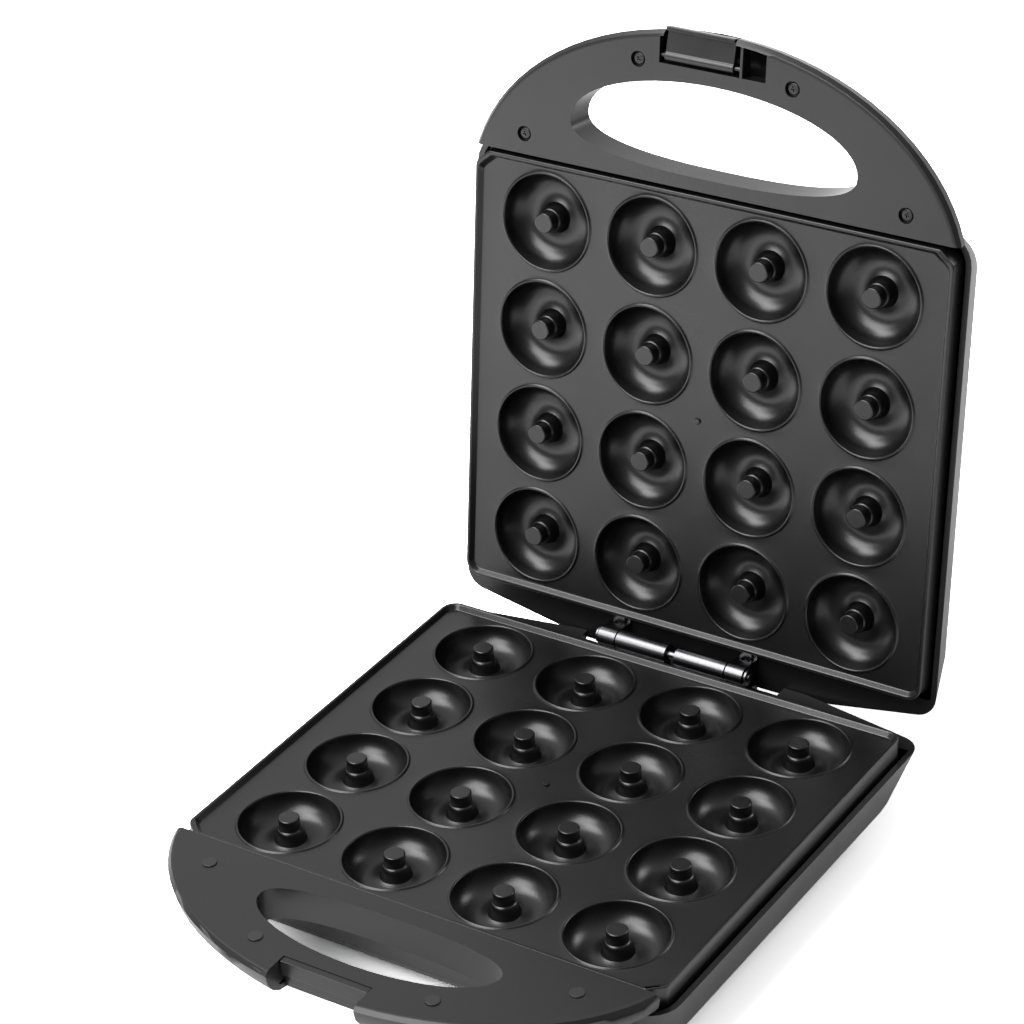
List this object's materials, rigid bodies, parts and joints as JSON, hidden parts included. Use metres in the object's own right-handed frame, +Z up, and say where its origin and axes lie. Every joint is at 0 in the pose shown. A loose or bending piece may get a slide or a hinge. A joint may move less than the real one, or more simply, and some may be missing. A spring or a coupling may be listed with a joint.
{
  "type": "donut maker",
  "caption": "Open clamshell donut maker with rows of ring-shaped cups in black non-stick plates, a loop handle on each half, a flip latch and a rear hinge.",
  "frame": {"origin": "on the table under the middle of the open donut maker", "axes": "+Z up, -Y towards the handles, +Y towards the hinge, +X to the user's right"},
  "size_m": [0.243, 0.355, 0.3299],
  "materials": {
    "black_plastic": "satin",
    "nonstick_metal": "coated",
    "rubber": "matte",
    "zinc_steel": "satin",
    "black_steel": "satin",
    "heater_steel": "satin",
    "sheet_aluminium": "satin",
    "brown_plastic": "satin",
    "ivory_plastic": "satin",
    "wire_cover": "satin",
    "red_lens": "gloss",
    "green_lens": "gloss",
    "board": "satin",
    "lamp_glass": "gloss"
  },
  "bodies": {
    "base": {"base_casing": "black_plastic", "lower_handle_cover": "black_plastic", "bumper_discs": "rubber", "lower_handle_screws": "zinc_steel", "latch_catch": "black_plastic", "catch_screws": "zinc_steel", "lower_plate": "nonstick_metal", "lower_plate_screws": "zinc_steel", "lower_heater": "heater_steel", "lower_heat_shield": "sheet_aluminium", "lower_shield_screws": "zinc_steel", "lower_thermostat": "brown_plastic", "thermal_fuse": "sheet_aluminium", "fuse_clip": "zinc_steel", "terminal_block": "ivory_plastic", "terminal_screws": "zinc_steel", "cord_bush": "rubber", "base_wiring": "wire_cover", "foot_front_left": "rubber", "foot_front_right": "rubber", "foot_rear_left": "rubber", "foot_rear_right": "rubber", "hinge_barrels": "black_steel", "barrel_screws": "black_steel", "hinge_pin": "black_steel", "hinge_pin_clips": "black_steel"},
    "lid": {"lid_casing": "black_plastic", "upper_handle_cover": "black_plastic", "upper_handle_screws": "black_steel", "latch_pin": "zinc_steel", "upper_plate": "nonstick_metal", "upper_plate_screws": "zinc_steel", "upper_heater": "heater_steel", "upper_heat_shield": "sheet_aluminium", "upper_shield_screws": "zinc_steel", "upper_thermostat": "brown_plastic", "hinge_ear_left": "black_steel", "hinge_ear_right": "black_steel", "ear_screws": "black_steel", "power_lens": "red_lens", "ready_lens": "green_lens", "lamp_board": "board", "power_lamp": "lamp_glass", "ready_lamp": "lamp_glass", "lid_wiring": "wire_cover"},
    "clasp": {"latch_clasp": "black_plastic"}
  },
  "joints": [
    {"name": "lid_hinge", "type": "hinge", "parent": "base", "child": "lid", "pos_m": [-0.0035, 0.10335, 0.0482], "axis": [1, 0, 0], "range_deg": [0, 98.5]},
    {"name": "latch_pivot", "type": "hinge", "parent": "lid", "child": "clasp", "pos_m": [-0.008, 0.15035, 0.3167], "axis": [1, 0, 0], "range_deg": [0, 100]}
  ]
}
